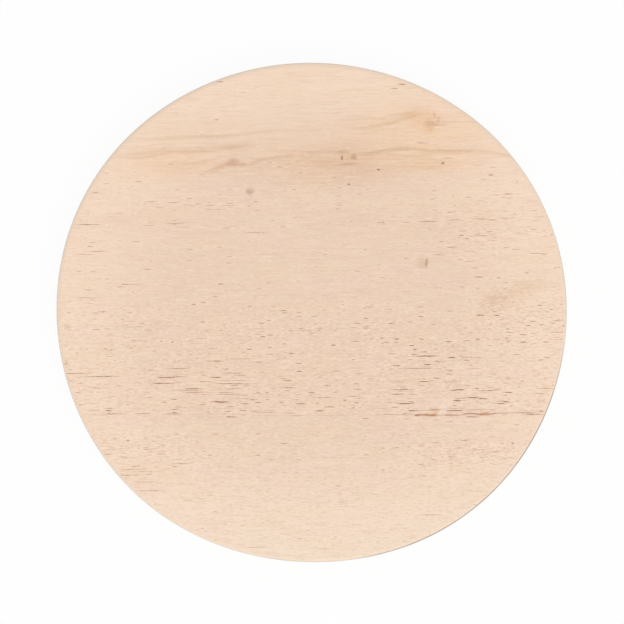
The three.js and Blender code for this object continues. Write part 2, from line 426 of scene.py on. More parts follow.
# Wide soft tints: middle, half sizes, turn in degrees, colour and strength
hazes = [
    ((5, 86), (130, 22), 0, "heart", 0.22),
    ((18, 87), (44, 17), -2, "heart", 0.34),
    ((30, 102), (120, 30), 2, "ochre", 0.1),
    ((-72, 106), (46, 12), 4, "ochre", 0.12),
    ((-84, 88), (40, 14), 4, "honey", 0.3),
    ((60, 108), (60, 24), 4, "honey", 0.28),
    ((70, 89), (46, 11), 0, "honey", 0.36),
    ((78, 103), (40, 12), 0, "honey", 0.16),
    ((54, 114.5), (18, 4.4), 14, "tan", 0.16),
    ((108, 7), (15, 9), 20, "growth", 0.42),
    ((125, 14), (17, 8), 20, "ochre", 0.36),
    ((-95, -94), (34, 16), 0, "ochre", 0.12),
    ((-60, -40), (110, 26), 0, "heart", 0.05),
    ((-96, 54), (44, 9), 0, "heart", 0.12),
    ((24, 54), (28, 9), 0, "heart", 0.12),
    ((88, 52), (40, 10), 0, "heart", 0.1),
    ((84, -83), (26, 9), 0, "heart", 0.12),
    ((104, -77), (30, 12), 0, "heart", 0.09),
    ((66, 88), (24, 6), 0, "growth", 0.15),
    ((-72, 83), (24, 7), 0, "heart", 0.1),
    ((-45, 95.5), (14, 5), 4, "growth", 0.16),
    ((104, 95), (16, 6), 0, "honey", 0.2),
]

# Knots, pins and small stains: middle, half sizes, turn in degrees, colour, strength, and the share of it
# that is full colour
knots = [
    ((-54, 84.8), (9.6, 2.8), 20, "tan", 0.42, 0.1),
    ((-46.4, 87.7), (6, 3.8), 10, "knot", 0.46, 0.2),
    ((-41, 86.6), (5, 1.7), 4, "growth", 0.6, 0.2),
    ((21, 90.9), (4, 3.4), 0, "ochre", 0.22, 0.1),
    ((18.4, 94), (6, 1.4), 0, "rust", 0.3, 0.1),
    ((21.4, 86.9), (8.4, 1.6), 1, "rust", 0.26, 0.1),
    ((24.4, 91), (2.8, 2.7), 0, "knot", 0.52, 0.2),
    ((17.6, 90.6), (0.9, 2), -3, "pin", 0.75, 0.2),
    ((66, 113), (16, 10), -14, "orange", 0.26, 0.1),
    ((57, 115), (11, 3.4), 10, "tan", 0.18, 0.1),
    ((69, 110.6), (5.4, 4.2), 0, "knot", 0.36, 0.1),
    ((71.6, 115.4), (1.6, 4), 8, "knot", 0.3, 0.1),
    ((74, 112.6), (1.6, 3.6), -12, "knot", 0.3, 0.1),
    ((74.5, 109.8), (7, 2), 0, "knot", 0.22, 0.1),
    ((68.6, 107.4), (4.6, 2.6), 0, "orange", 0.4, 0.1),
    ((-36.3, 71), (3.6, 3.1), 20, "olive", 0.62, 0.25),
    ((76.7, 87.2), (2.4, 2), 0, "ochre", 0.3, 0.2),
    ((76.5, 87.3), (1.3, 1), 20, "pin", 0.65, 0.1),
    ((38.8, 83.5), (1.5, 0.8), 0, "pin", 0.85, 0.2),
    ((21.6, 75), (1.4, 0.75), 0, "pin", 0.75, 0.2),
    ((64.2, 29), (4.4, 5.8), 0, "tan", 0.34, 0.15),
    ((67, 29.2), (1.3, 4), -6, "pin", 0.55, 0.1),
    ((-143.2, -8.4), (3.4, 2.6), 0, "olive", 0.3, 0.1),
    ((117.3, -76.4), (1.4, 0.9), 0, "pin", 0.7, 0.2),
    ((76.9, -56.2), (3.4, 5.4), 0, "paleFiller", 0.6, 0.2),
    ((71.8, -57), (4.6, 1.4), 0, "filler", 0.5, 0.1),
    ((-53.8, -52.1), (5, 0.7), 0, "stain", 0.55, 0.3),
]

# Single pores that stand out on the rolling face: middle x and y, length, strength
darkPores = [
    (65.7, -40.4, 6, 0.9), (53, -43.4, 4, 0.5), (52.8, -45, 13, 0.5), (56.6, -47.7, 9, 0.4),
    (86.2, -45.1, 5, 1.3), (85, -50.4, 4, 0.5), (89, -50, 5, 0.5), (94.5, -49.7, 8, 0.7),
    (84.8, -51.5, 4, 1.1), (100.3, -50.3, 5, 1.1), (110.6, -53.2, 4.5, 0.75), (115, -46.7, 5, 0.6),
    (108.2, -44.8, 4, 0.4), (134.3, -51.8, 5, 0.4), (133, -47.4, 8, 0.35), (66.9, -25.4, 13, 0.75),
    (72.8, -62.7, 5, 0.35), (81.7, -26.3, 4.5, 0.75), (133.7, -57.6, 4, 0.5), (-57, -28.3, 11, 0.5),
    (-42, -27, 17, 0.36), (-46.3, -35.4, 13, 0.42), (-41.9, -36.8, 7, 0.5), (-55.6, -37.9, 7, 0.6),
    (-47.4, -39.7, 18, 0.45), (-45, -41.6, 24, 0.42), (-77.3, -37.5, 9, 0.45), (-68.2, -44.4, 11, 0.55),
    (-52.7, -46.7, 16, 0.36), (-34.8, -51, 6, 0.45), (-86.4, -52.4, 4.5, 0.4), (-78.2, -54.6, 4.5, 0.4),
    (-46.6, -60.9, 6, 0.7), (-82, -59.2, 12, 0.4), (-123, -37.4, 24, 0.4), (-118.4, -56.1, 5, 0.5),
    (-119, -57.4, 5, 0.45), (-115.7, -59.2, 12, 0.45), (-27, -58.4, 16, 0.3), (-131, 51.4, 15, 0.5),
    (-95, 50.8, 8, 0.35), (-75.6, 49.9, 9, 0.3), (-59.2, 50.2, 8, 0.26), (-49.8, 49.4, 5, 0.35),
    (-94, 64.8, 6, 0.5), (-129.5, 38.8, 3, 0.6), (-125.5, 35.8, 13, 0.42), (-96.7, 25.3, 8, 0.42),
    (-53.3, 16.6, 3, 0.85), (-69.1, 4.8, 2.4, 0.6), (-122.5, 0.4, 5, 0.55), (-36.6, 3.6, 2.6, 0.65),
    (-17, 1.2, 5, 0.45), (-25.2, -4.6, 2.4, 0.6), (-28.7, -14, 2.6, 0.7), (-99.6, -6.4, 4, 0.4),
    (83, 54.1, 10, 0.5), (97.5, 54.7, 12, 0.55), (105.6, 54.2, 6, 0.45), (114, 55.3, 11, 0.45),
    (133, 56, 7, 0.3), (81.8, 38.3, 6, 0.7), (75.4, 41.3, 3, 0.55), (87.3, 45, 3, 0.75),
    (68.8, 48.8, 2.5, 0.45), (92.5, 35.9, 9, 0.35), (100, 31.8, 4.5, 0.4), (95.6, 41.5, 10, 0.32),
    (100.3, 39.4, 5, 0.3), (105, 42, 7, 0.32), (119.4, 37, 5, 0.42), (122, 46.5, 9, 0.3),
    (129.6, 48.7, 4, 0.45), (132, 34.6, 9, 0.45), (129.6, 53.5, 6, 0.3), (70.4, 66, 3.5, 0.4),
    (73, 55, 5, 0.38), (74.2, 33.8, 8, 0.52), (92.1, 29.9, 5, 0.5), (86.8, 31.1, 4, 0.35),
    (97.7, 20.7, 6, 0.6), (109.1, 20.3, 3, 0.55), (87.4, 15, 6, 0.4), (125.5, 23.2, 3, 0.45),
    (106.8, 0.6, 2.6, 0.5), (98.6, -1.4, 4, 1.1), (107.9, -1.7, 3, 0.65), (133.1, 4.2, 3, 0.7),
    (140.2, 1.8, 3, 0.55), (126.4, -7.6, 3, 0.6), (114.4, -9.6, 2.4, 0.6), (96.8, -15.5, 2.6, 0.7),
    (63.4, -2.3, 3.4, 0.55), (64.6, -15.5, 3, 0.6), (79.8, -17, 5, 0.5), (114.7, 69.2, 6, 0.75),
    (107.4, 68.7, 9, 0.26), (91.2, 67.5, 5, 0.4), (104.7, 80.5, 3.5, 0.75), (100, 77.7, 3.5, 0.5),
    (106, 84.8, 4, 0.3), (-101.4, 76.6, 5, 0.4), (-7, 81.8, 3.5, 0.4), (-10.5, 71.9, 3, 0.5),
    (79.8, 90.3, 9, 0.32), (52.2, 133.4, 5, 0.65), (48.1, 131.1, 4, 0.5), (-53.9, 134.9, 5, 0.55),
    (-82.6, 86.7, 4, 0.45), (-55.5, 112.7, 2.6, 0.5), (-81.5, 64.3, 10, 0.34), (-73.5, 62.8, 6, 0.36),
    (-66.5, 63.4, 4.5, 0.36), (-59.5, 62.8, 7.5, 0.38), (-48.5, 62.6, 11, 0.3), (-36.5, 62.3, 6, 0.3),
    (-50.4, -33, 5, 0.35), (-31.3, -52.6, 4, 0.5), (-26.3, -46.8, 2.6, 0.5), (-31.4, -46.8, 2.6, 0.4),
    (-25.6, -51, 2.4, 0.5), (-13.6, -43.9, 12, 0.5), (-14.6, -45.7, 4, 0.4), (-7.5, -34.4, 3, 0.7),
    (-14.6, -39.5, 5, 0.5), (-6.4, -53.3, 6, 0.55), (-9.3, -51, 5, 0.35), (-12, -24, 5, 0.5),
    (-5, -23.9, 4, 0.35), (-22.8, -44.2, 4, 0.35), (-17.8, -52.4, 3, 0.35), (-49.2, -57.8, 4, 0.45),
    (-40.4, -57.3, 4, 0.5), (-47.4, -55, 6, 0.35), (-70.3, -53, 5, 0.3), (-12.8, -58.6, 8, 0.35),
    (-107.8, -74.9, 2.4, 0.66), (-114.9, -73.7, 4, 0.36), (-96.7, -73.2, 3, 0.34),
    (-73.8, -72.8, 2.4, 0.38), (-110.2, -84.4, 6, 0.34), (-103, -95, 4, 0.42), (-101.3, -98.9, 6, 0.42),
    (-95, -99, 3.6, 0.56), (-89.6, -99.8, 4, 0.38), (-74.6, -88.3, 5, 0.44), (-72.6, -85.8, 6, 0.4),
    (-59.7, -83.3, 3, 0.48), (-88.5, -82.6, 5, 0.42), (-87.3, -77.9, 3, 0.44), (-97.3, -79, 2.6, 0.4),
    (-92, -75.3, 3, 0.38), (46.9, -23.9, 5, 0.35), (110.9, -24.9, 5, 0.3), (67.8, -30.3, 3.5, 1.0),
    (46.7, -32.7, 2.6, 0.9), (56, -32.7, 10, 0.45), (67.5, -32.7, 6, 0.6), (77.7, -32.2, 3, 0.3),
    (80.4, -33.8, 4, 0.5), (94.5, -32.7, 8, 0.3), (105.6, -36, 5, 0.28), (70.5, -39.9, 5, 0.32),
    (54.9, -53.2, 6, 1.1), (58.7, -57.3, 4.5, 1.0), (83.9, -57.3, 6.5, 1.2), (-53.6, -52.1, 5.5, 0.9),
    (-53.4, -52.5, 5, 0.9), (4.2, -57.4, 5, 0.9), (3, -53, 2, 0.5), (-65.6, -15.2, 9, 0.24),
    (-81.4, -17.2, 2, 0.45), (-92, -22.5, 2.4, 0.4), (-77.9, -24.3, 4, 0.36), (-40.4, -17.8, 4, 0.36),
    (-24.6, -20.5, 2.4, 0.6), (-62.7, -36.6, 4, 0.32), (4.7, -37.8, 3, 0.36), (-107.8, -53.6, 2.4, 0.32),
    (15.3, -0.2, 3, 0.32), (35.2, 4.5, 3, 0.3), (44.6, 1.8, 4, 0.36), (46.4, -6.4, 4, 0.6),
    (31.7, -8.1, 3.5, 0.36), (25.3, -16.7, 5, 0.5), (35.2, -15.2, 3, 0.36), (40.8, -15, 3, 0.42),
    (43.4, -17.5, 3.5, 0.5), (49.3, -15.5, 3, 0.85), (58.4, -19.3, 3, 0.75), (60.2, -21.6, 2.2, 0.5),
    (82.4, -19.3, 2, 0.5), (12.4, -19, 3, 0.6), (113.8, -14.9, 2, 0.55), (103.8, -19.3, 3, 0.36),
    (129.6, -18.1, 3, 0.36), (25.9, -41.6, 3, 0.6), (27.6, -35.7, 5, 0.36), (34.7, -38.6, 4, 0.36),
    (19.4, -51.2, 2, 0.6), (19.4, -37.7, 3, 0.32), (27, -44.8, 5, 0.42), (28.2, -50, 6, 0.32),
    (25.9, -52.7, 3, 0.36), (13.5, -46.5, 4, 0.32), (99.7, 3.9, 3, 0.32), (134.3, -7, 3, 0.42),
    (134.3, -27.5, 4, 0.32), (136.1, -32.5, 4, 0.36), (-24.6, 87.7, 3.5, 0.42), (-18.7, 85.1, 4.5, 0.48),
    (14.7, 79.2, 10.5, 0.36), (64.3, 99.1, 7.5, 0.46), (96.8, 86.2, 7, 0.3),
]
rustyPores = [
    (50.5, -47.7, 7, 0.6), (54.6, -53.2, 9, 0.9), (61, -32.5, 20, 0.42), (-78, -32.7, 14, 0.42),
    (-85, -37.9, 8.5, 1), (-87.3, -41.3, 12, 0.9), (-67.4, -46.6, 15, 0.45), (-53.9, -52.1, 9.5, 1.0),
    (-39.5, -53.3, 6, 0.4), (-43, -39.8, 20, 0.26), (67.5, 53.1, 11, 0.7), (-99.2, -93, 20, 0.34),
    (-76, -88.2, 12, 0.36), (-106, -85, 14, 0.3), (-97, -99, 20, 0.28), (-93.8, -104.2, 18, 0.45),
    (-78.5, -86, 6, 0.4), (-9, -60.3, 9, 0.3),
]

# How such a pore is drawn: its length over its half length with the fading ends, half its width and depth,
# how full its colour is, and where its pale edge starts and ends
singleShape = {
    "lengthShare": 1.3, "halfWidth": 0.35, "halfDepth": 2.5,
    "fullness": 2.0, "edgeFrom": -0.35, "edgeTo": 0.1,
}

# The glued seam on the rolling face and the filler pressed into it: a colour, whether it is ragged, and
# lines like the growth lines
seamPath = [(-140, -59.3), (-60, -59.4), (0, -60.2), (40, -59.6), (60, -59.8), (74, -59.9), (86, -59.8),
            (93, -59), (99, -59.4), (107, -58.9), (118, -58.6), (128, -58.6), (141, -58.2)]
seamMarks = [
    ("paleFiller", False, [
        ([(57, -58.5), (108, -58.2)],
         [(59, 0.5), (72, 0.5), (76, 0), (79, 0.4), (88, 0.3), (96, 0.4), (106, 0.3)], 0.9, 0.9)]),
    ("filler", True, [
        (seamPath, [(61, 0.2), (66, 0.4), (68.5, 0.8), (72.5, 0.85), (74, 0.1), (77, 0.1), (79, 0.5),
                    (84, 0.4), (86, 0.1), (89, 0.3), (97, 0.35), (99, 0.95), (102, 0.95), (104, 0.4),
                    (108, 0.2)], 2.4, 1.4)]),
    ("glueLine", False, [
        (seamPath, [(-140, 0.1), (-124, 0.2), (-112, 0.1), (-60, 0.1), (-10, 0.16), (10, 0.1), (40, 0.14),
                    (45, 0.5), (54, 0.45), (58, 0.2), (61, 0.6), (76, 0.4), (88, 0.5), (108, 0.55),
                    (116, 0.45), (118, 0.8), (127, 0.8), (130, 0.2), (138, 0.2)], 0.5, 0.55),
        ([(57, -57.3), (66, -57.3), (74, -56.6), (80, -57.3), (87, -57.3), (92, -56.8), (108, -56.8)],
         [(58, 0.9), (61, 0.9), (64, 0.35), (70, 0.6), (76, 0.3), (78, 0.3), (80, 1), (87, 1), (89, 0.3),
          (92, 0.6), (98, 0.5), (102, 0.3), (106, 0.5)], 0.5, 0.5),
        ([(125, -59.7), (131, -59.6)],
         [(126.5, 0.6), (129.5, 0.5)], 0.45, 0.45)]),
    ("stain", True, [
        (seamPath, [(61.5, 0.95), (66, 0.9), (70, 0.5), (73, 0.35), (74.5, 0.05), (78, 0.1), (80, 0.35),
                    (85, 0.3), (87, 0.1), (89, 0.6), (94, 0.8), (98, 0.5), (102, 0.5), (106, 0.45)],
         0.7, 0.8),
        ([(90, -60.6), (94, -60.9), (98, -60.7)],
         [(91, 0.9), (94, 1.3), (97, 0.8)], 0.6, 0.6)]),
]


def singlePores(place, spots):
    # for each lens-shaped pore its strength, less the distance from its middle, so that it is 0 at the edge;
    # the best of these gives the core, and a little beyond 0 lies the pale edge
    shape = singleShape

    def lenses():
        for middleX, middleY, length, strength in spots:
            reach = (length / shape["lengthShare"], shape["halfWidth"], shape["halfDepth"])
            scale = tuple(strength / half for half in reach)
            shift = (-middleX * scale[0], -middleY * scale[1], -boardTop / mm * scale[2])
            lens = place.node("VectorMath", {"operation": "MULTIPLY_ADD"}, {0: place, 1: scale, 2: shift})
            yield strength - lens.node("VectorMath", {"operation": "LENGTH"}, {0: lens}, "Value")

    best = highest(lenses())
    return (best.over(0.0) * shape["fullness"]).under(1.0), best.fade(shape["edgeFrom"], shape["edgeTo"])


def plankWood():
    tones = woodColours
    part = woodShares
    noise = woodNoise
    finish, shader, place = newFinish("plankWood")
    x, y, z = place.axes()
    top = boardTop / mm

    # the grain wanders and leans a little, so marks that follow it are read at a place pushed across it
    wander = drift(place, grainDrift["wander"], noise["wander"])
    ripple = drift(place, grainDrift["ripple"], noise["ripple"])
    grain = pushed(place, wander + ripple + (top - z) * grainDrift["lean"])
    close = pushed(place, ripple)
    streak = blotches(grain, *noise["streak"])

    # ground colour, paler towards the rim and the front, and yellower and pinker in patches
    inward = nearSpot(place, (0, 0), (1.02 * wideHigh.x / mm, 1.02 * wideHigh.y / mm))
    colour = inward.fade(0.51, 0.0).between(tones["ground"], tones["paleAtRim"])
    colour = (y.fade(-60, -150) * part["paleAtFront"]).between(colour, tones["paleAtFront"])
    patch = blotches(grain, *noise["patch"])
    colour = (patch.fade(0.5, 0.75) * part["patch"]).between(colour, tones["yellowish"])
    colour = (patch.fade(0.5, 0.25) * part["patch"]).between(colour, tones["pinkish"])

    # soft tints, growth lines and knots
    uneven = streak.fade(0.3, 0.7, 0.6, 1.3)
    for middle, sizes, turn, tone, strength in hazes:
        haze = nearSpot(grain, middle, sizes, turn).fade(0.0, 0.9, 0.0, strength)
        colour = (haze * uneven).between(colour, tones[tone])
    lines = highest(nearLine(close, line, lineRun["growth"]) for line in growthLines)
    colour = (lines * streak.fade(0.3, 0.6, 0.34, 0.62)).between(colour, tones["growth"])
    speckle = blotches(close, *noise["speckle"]).fade(0.3, 0.65, 0.75, 1.2)
    for middle, sizes, turn, tone, strength, full in knots:
        knot = nearSpot(close, middle, sizes, turn).fade(0.0, 1 - full, 0.0, strength)
        colour = (knot * speckle).between(colour, tones[tone])

    # fine fibre and tooth, darker and lighter than the ground
    crowd = highest(nearSpot(place, middle, sizes).fade(0.0, 0.8, 0.0, strength)
                    for middle, sizes, strength in crowdedPatches)
    fibre = blotches(grain, *noise["fibre"])
    colour = (fibre.fade(0.5, 0.8) * part["darkFibre"]).between(colour, tones["darkFibre"])
    colour = (fibre.fade(0.5, 0.2) * part["lightFibre"]).between(colour, tones["lightFibre"])
    tooth = blotches(close, *noise["tooth"])
    toothDepth = along(y, toothStrength) + crowd
    colour = (tooth.fade(0.5, 0.78) * toothDepth * part["darkTooth"]).between(colour, tones["darkFibre"])
    colour = (tooth.fade(0.5, 0.22) * toothDepth * part["lightTooth"]).between(colour, tones["lightFibre"])

    # pores, in clouds and rows, tan in places and brown at the back right and the front
    clouds = blotches(grain, *noise["poreCloud"]).fade(0.3, 0.7, 0.5, 1.4)
    clouds = clouds * blotches(grain, *noise["poreRow"]).fade(0.35, 0.65, 0.5, 1.5)
    cores = []
    paleRims = []
    for layer in poreLayers:
        chance = along(y, layer["chance"]) * clouds + crowd * layer["crowding"]
        field = poreField(grain, chance, layer)
        cores.append(poreCore(*field) * layer["depth"])
        paleRims.append(poreRim(*field) * layer["depth"])
    pore = highest(cores)
    grit = blotches(close, *noise["grit"]).fade(0.3, 0.62, 0.45, 1.25)
    poreTone = blotches(grain, *noise["poreTone"]).fade(0.42, 0.62).between(tones["pore"], tones["tanPore"])
    brown = (x.fade(55, 85) * y.fade(22, 34)).over(y.fade(-62, -68))
    poreTone = brown.between(poreTone, tones["brownPore"])
    colour = (highest(paleRims) * part["poreEdge"]).between(colour, tones["poreEdge"])
    colour = (pore * grit * along(y, poreDepth)).under(1.0).between(colour, poreTone)
    singleTone = brown.between(tones["pore"], tones["brownPore"])
    depth = along(y, singleDepth)
    for spots, tone in ((darkPores, singleTone), (rustyPores, tones["rust"])):
        core, paleRim = singlePores(close, spots)
        colour = (paleRim * part["singleEdge"]).between(colour, tones["poreEdge"])
        colour = (core * grit * depth).under(1.0).between(colour, tone)

    # seam and filler, on the rolling face only
    onTop = z.fade(top - 2.5, top - 0.5)
    ragged = blotches(close, *noise["ragged"]).fade(0.35, 0.6, 0.3, 1.0) * onTop
    for tone, isRagged, marks in seamMarks:
        lines = highest(nearLine(close, line, lineRun["seam"]) for line in marks)
        colour = (lines * (ragged if isRagged else onTop)).between(colour, tones[tone])

    # growth rings on the rim and underneath, about a heart outside each plank, and end grain at the sides
    normal = place.node("NewGeometry", {}, {}, "Normal").axes()
    sideways = abs(normal[0])
    upward = normal[2]
    flatness = abs(upward)
    behindSeam = y.maths("GREATER_THAN", y, seamY / mm)
    heart = behindSeam.between(ringHearts["narrow"], ringHearts["wide"])
    rings = pushed(place, wander)
    rings = rings.node("VectorMath", {"operation": "SUBTRACT"}, {0: rings, 1: heart})
    rings = rings.node("TexWave", {"wave_type": "RINGS", "rings_direction": "X", "wave_profile": "SAW"}, {
        "Vector": rings, "Scale": wavePeriod / ringHearts["spacing"],
        "Distortion": 7.0, "Detail": 1.0, "Detail Scale": 0.2})
    rings = rings.fade(0.2, 1.0) * upward.fade(0.9, 0.3) * upward.fade(-0.9, -0.3, 0.17, 0.28)
    colour = rings.between(colour, tones["growth"])
    wall = flatness.fade(0.55, 0.1)
    colour = (sideways.fade(0.3, 0.95) * wall * part["endGrain"]).between(colour, tones["endGrain"])

    # the rim's edges sanded pale, and a painted shade line along the rounded top edge at the front right,
    # broken up by noise
    rounding = flatness.fade(0.05, 0.35)
    sanded = flatness.fade(0.99, 0.8) * part["sandedFace"]
    sanded = sanded.over(flatness.fade(0.85, 0.55) * part["sandedEdge"])
    colour = (sanded * rounding).between(colour, tones["sandedEdge"])
    frontRight = x - y
    # painted shade: darkest towards the front right, on the rounded top edge only
    paintedEdgeShade = frontRight.fade(60, 135, 0.0, 0.16).over(frontRight.fade(150, 200, 0.0, 0.75))
    paintedEdgeShade = paintedEdgeShade * blotches(place, *noise["edgeShadeNoise"]).fade(0.3, 0.65, 0.75, 1.1)
    colour = (upward.fade(0.82, 0.6) * upward.fade(0.1, 0.45) * paintedEdgeShade).between(colour, tones["edgeShade"])

    feed(shader, "Base Color", colour)
    feed(shader, "Roughness", fibre.fade(0.3, 0.7, 0.62, 0.74) + pore * 0.1)
    shader.inputs["Specular IOR Level"].default_value = woodSpecular
    emboss(shader, fibre * 0.5 - pore, 0.4, 0.12 * mm)
    return finish


# The planks: a rim outline about the board's middle, filled from a point on the seam

plankShape = {
    "easedRadius": 3.0 * mm,  # rim edges, above and below
    "easedSteps": 8,
    "faceRings": 14,
    "lastFaceRing": 0.985,  # as a share of the way out to the eased edge
    "rimSteps": {"wide_plank": 260, "narrow_plank": 120},
    "ovalTurn": -7.4,  # degrees from the grain to the oval's long axis
    "handCut": [(3, 0.2 * mm, 44), (4, 0.44 * mm, 43), (5, 0.2 * mm, 18)],  # waves, height, place of a crest
    "boreGap": 0.3 * mm,
    "borePast": 1 * mm,  # how far outside the wood a bore starts
    "boreSteps": 32,
    "dowelEndRoom": 0.8 * mm,
    "seamReadings": 4001,  # points on the rim from which its crossing with the seam is read
}


def rim(angle):
    # an oval turned a little from the grain, plus a few low waves from cutting by hand
    turned = angle - math.radians(plankShape["ovalTurn"])
    radius = wideHigh.x * wideHigh.y / np.hypot(wideHigh.y * np.cos(turned), wideHigh.x * np.sin(turned))
    for waves, height, crest in plankShape["handCut"]:
        radius = radius + height * np.cos(waves * (angle - math.radians(crest)))
    return np.stack([radius * np.cos(angle), radius * np.sin(angle)], axis=-1)


def seamAngles():
    # the two angles where the rim crosses the seam, right and left, read off the rim on each side
    right = np.linspace(-np.pi / 2, 0, plankShape["seamReadings"])
    left = np.linspace(1.5 * np.pi, np.pi, plankShape["seamReadings"])
    return [np.interp(seamY, rim(side)[:, 1], side) for side in (right, left)]


def withPoles(first, grid, last):
    # a grid's points in one list, from its first pole to its last
    return np.concatenate([[first], grid.reshape(-1, 3), [last]])


def poleGridFaces(rows, columns, around):
    # faces of a grid of points between a first and a last pole; around joins the last column to the first
    column = np.arange(columns if around else columns - 1)
    following = (column + 1) % columns
    row = np.arange(rows - 1)[:, None] * columns + 1
    below = row + columns
    quads = np.stack([row + column, below + column, below + following, row + following], axis=-1)
    lastRow = (rows - 1) * columns + 1
    lastPole = np.full_like(column, rows * columns + 1)
    firstFan = np.stack([np.zeros_like(column), column + 1, following + 1], axis=-1)
    lastFan = np.stack([lastRow + column, lastPole, lastRow + following], axis=-1)
    return firstFan.tolist() + quads.reshape(-1, 4).tolist() + lastFan.tolist()


def plankGrid(startAngle, endAngle, steps):
    # each column runs from a point on the seam out to the rim over the top face, down the rim and back below;
    # each row follows the rim at one share of the way out
    shape = plankShape
    rings = np.append(np.linspace(0, shape["lastFaceRing"], shape["faceRings"]), 1.0)
    ease = np.linspace(0, np.pi / 2, shape["easedSteps"] + 1)[1:]
    share = np.append(rings, np.ones_like(ease))
    out = np.append(np.zeros_like(rings), shape["easedRadius"] * np.sin(ease))
    height = np.append(np.full_like(rings, boardTop), boardTop - shape["easedRadius"] * (1 - np.cos(ease)))
    share = np.append(share, share[::-1])[:, None]
    out = np.append(out, out[::-1])[:, None]
    height = np.append(height, (boardTop + boardUnder - height)[::-1])[:, None]

    heart = np.array([0.0, seamY])
    spoke = rim(np.linspace(startAngle, endAngle, steps + 1)) - heart
    full = np.hypot(spoke[:, 0], spoke[:, 1])
    reach = share * (full - shape["easedRadius"]) + out
    flat = heart + reach[..., None] * (spoke / full[:, None])
    points = np.concatenate([flat, np.broadcast_to(height[..., None], reach.shape + (1,))], axis=-1)
    points = withPoles(points[0, 0], points[1:-1], points[-1, 0])

    # the seam's face is one strip on each side of the seam's middle
    rows = len(share) - 2
    columns = steps + 1
    faces = poleGridFaces(rows, columns, False)
    for column, turnRound in ((0, True), (columns - 1, False)):
        line = np.concatenate([[0], 1 + np.arange(rows) * columns + column, [rows * columns + 1]])
        half = len(line) // 2 - 1
        back = line[::-1]
        strip = np.stack([line[:half], line[1:half + 1], back[1:half + 1], back[:half]], axis=-1)
        faces += (strip[:, ::-1] if turnRound else strip).tolist()
    return points, faces


def turned(profile, steps):
    # a profile of (radius, height) from its top pole to its bottom pole, turned about the Z axis
    radius, height = np.array(profile, float).T
    angle = np.linspace(0, 2 * np.pi, steps, endpoint=False)
    ring = np.stack([np.cos(angle), np.sin(angle)], axis=-1)
    rows = radius[1:-1, None, None] * ring
    heights = np.broadcast_to(height[1:-1, None, None], rows.shape[:2] + (1,))
    grid = np.concatenate([rows, heights], axis=-1)
    points = withPoles([0, 0, height[0]], grid, [0, 0, height[-1]])
    return points, poleGridFaces(len(radius) - 2, steps, True)


def newMesh(name, shape):
    points, faces = shape
    mesh = bpy.data.meshes.new(name)
    mesh.from_pydata(points.tolist(), [], faces)
    mesh.validate()
    piece = bpy.data.objects.new(name, mesh)
    bpy.context.scene.collection.objects.link(piece)
    return piece


def boreOut(piece, cutters):
    # takes the cutters away from the piece, for good
    drawer = bpy.data.collections.new("cutters")
    for shape in cutters:
        drawer.objects.link(newMesh("cutter", shape))
    cut = piece.modifiers.new("bores", "BOOLEAN")
    cut.operation = "DIFFERENCE"
    cut.solver = "EXACT"
    cut.operand_type = "COLLECTION"
    cut.collection = drawer
    solid = piece.evaluated_get(bpy.context.evaluated_depsgraph_get())
    bored = bpy.data.meshes.new_from_object(solid)
    piece.modifiers.clear()
    piece.data = bored
    for cutter in list(drawer.objects):
        bpy.data.objects.remove(cutter)
    bpy.data.collections.remove(drawer)


def dress(node, shape, bores, finish):
    # a bored piece with smooth faces and sharp corners, its finish, and its place in the frame
    piece = newMesh("dressed_" + node, shape)
    if bores:
        boreOut(piece, bores)
    mesh = piece.data
    mesh.polygons.foreach_set("use_smooth", np.ones(len(mesh.polygons), bool))
    mesh.set_sharp_from_angle(angle=math.radians(sharpAngle))
    mesh.materials.clear()
    mesh.materials.append(finish)
    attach(piece, "root")
    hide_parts(node)
    print(node, len(mesh.polygons), "faces")


screwShape = {
    "shankRadius": 2 * mm,
    "coreRadius": 1.45 * mm,
    "headRim": 0.4 * mm,
    "headEdge": 0.12 * mm,  # broken edge of the head's face
    "pointLength": 5 * mm,
    "tipGap": 0.05 * mm,  # from the point to the first row
    "tipShare": 0.02,  # least share of the point's length that its width is worked out from
    "neckLength": 5 * mm,
    "pitch": 1.8 * mm,
    "rowsPerTurn": 9,
    "slotSpan": 4.6 * mm,
    "slotWidth": 1.0 * mm,
    "slotDepth": 1.6 * mm,
    "slotWall": 0.25 * mm,  # how far a slot's wall leans
    "steps": 64,
    "faceRings": 22,
    "bright": seen(214, 203, 166),
    "dull": seen(190, 176, 136),
    "blotch": ((1.6, 1.6, 1.6), (2, 2, 7), 3.0),
}


def boxMiddle(low, high):
    # a box's middle as seen from above, at height 0
    return np.array([(low.x + high.x) / 2, (low.y + high.y) / 2, 0])


def dowelBores():
    # holes from front to back, with room about each dowel and past its ends
    bores = []
    for name in dowelNames:
        low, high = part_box(name)
        radius = (high.x - low.x) / 2 + plankShape["boreGap"]
        half = (high.y - low.y) / 2 + plankShape["dowelEndRoom"]
        profile = [(0, half), (radius, half), (radius, -half), (0, -half)]
        points, faces = turned(profile, plankShape["boreSteps"])
        points = np.stack([points[:, 0], -points[:, 2], points[:, 1]], axis=-1) + np.array((low + high) / 2)
        bores.append((points, faces))
    return bores


def screwBores(names, profileOf):
    # upright holes for the named screws, each turned from a profile that its box gives
    bores = []
    for name in names:
        low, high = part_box(name)
        points, faces = turned(profileOf(low, high), plankShape["boreSteps"])
        bores.append((points + boxMiddle(low, high), faces))
    return bores


def countersunk(low, high):
    # right through a batten, wide for the head at the foot
    gap = plankShape["boreGap"]
    shank = screwShape["shankRadius"] + gap
    head = (high.x - low.x) / 2 + gap
    foot = -plankShape["borePast"]
    top = boardUnder + plankShape["borePast"]
    coneFoot = low.z + screwShape["headRim"]
    coneTop = coneFoot + head - shank
    return [(0, top), (shank, top), (shank, coneTop), (head, coneFoot), (head, foot), (0, foot)]


